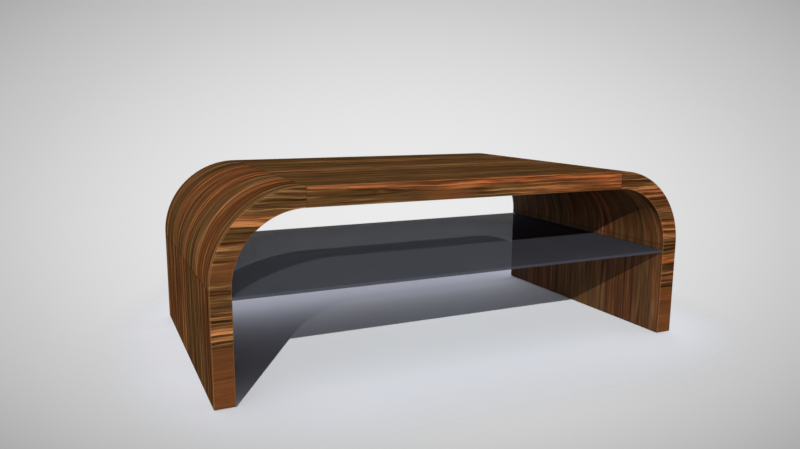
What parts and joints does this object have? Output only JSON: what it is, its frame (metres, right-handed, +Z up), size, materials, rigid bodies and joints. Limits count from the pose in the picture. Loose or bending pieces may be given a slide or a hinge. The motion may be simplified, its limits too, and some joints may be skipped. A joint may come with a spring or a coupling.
{
  "type": "waterfall coffee table",
  "caption": "Low coffee table: a veneered inverted U with rounded waterfall corners and a loose smoked glass shelf housed in grooves between the legs.",
  "frame": {"origin": "floor level under the middle of the top", "axes": "+X along the length towards the right-hand leg, +Y to the back, +Z up"},
  "size_m": [1.1, 0.63, 0.4],
  "materials": {
    "rosewood_veneer": "oiled streaked rosewood veneer",
    "rosewood_lipping": "oiled solid rosewood edging",
    "core_board": "raw fibreboard",
    "bent_ply": "raw bent laminated plywood",
    "tongue_ply": "raw birch plywood",
    "smoked_glass": "smoked toughened glass with polished edges",
    "liner": "soft black extruded channel",
    "glide_nylon": "dark brown moulded nylon",
    "nail_steel": "bright drawn wire"
  },
  "bodies": {
    "table": {"top_core": "core_board", "top_outer_veneer": "rosewood_veneer", "top_inner_veneer": "rosewood_veneer", "top_front_lipping": "rosewood_lipping", "top_back_lipping": "rosewood_lipping", "left_corner_core": "bent_ply", "left_leg_core": "core_board", "left_corner_outer_veneer": "rosewood_veneer", "left_corner_inner_veneer": "rosewood_veneer", "left_corner_front_lipping": "rosewood_lipping", "left_corner_back_lipping": "rosewood_lipping", "left_leg_outer_veneer": "rosewood_veneer", "left_leg_inner_veneer": "rosewood_veneer", "left_leg_front_lipping": "rosewood_lipping", "left_leg_back_lipping": "rosewood_lipping", "left_top_corner_tongue": "tongue_ply", "left_corner_leg_tongue": "tongue_ply", "left_groove_liner": "liner", "left_front_glide": "glide_nylon", "left_back_glide": "glide_nylon", "right_corner_core": "bent_ply", "right_leg_core": "core_board", "right_corner_outer_veneer": "rosewood_veneer", "right_corner_inner_veneer": "rosewood_veneer", "right_corner_front_lipping": "rosewood_lipping", "right_corner_back_lipping": "rosewood_lipping", "right_leg_outer_veneer": "rosewood_veneer", "right_leg_inner_veneer": "rosewood_veneer", "right_leg_front_lipping": "rosewood_lipping", "right_leg_back_lipping": "rosewood_lipping", "right_top_corner_tongue": "tongue_ply", "right_corner_leg_tongue": "tongue_ply", "right_groove_liner": "liner", "right_front_glide": "glide_nylon", "right_back_glide": "glide_nylon", "glide_nails": "nail_steel"},
    "shelf": {"glass_shelf": "smoked_glass"}
  },
  "joints": [
    {"name": "shelf_slide", "type": "slide", "parent": "table", "child": "shelf", "axis": [0, 1, 0], "range_m": [0, 0.65]}
  ]
}
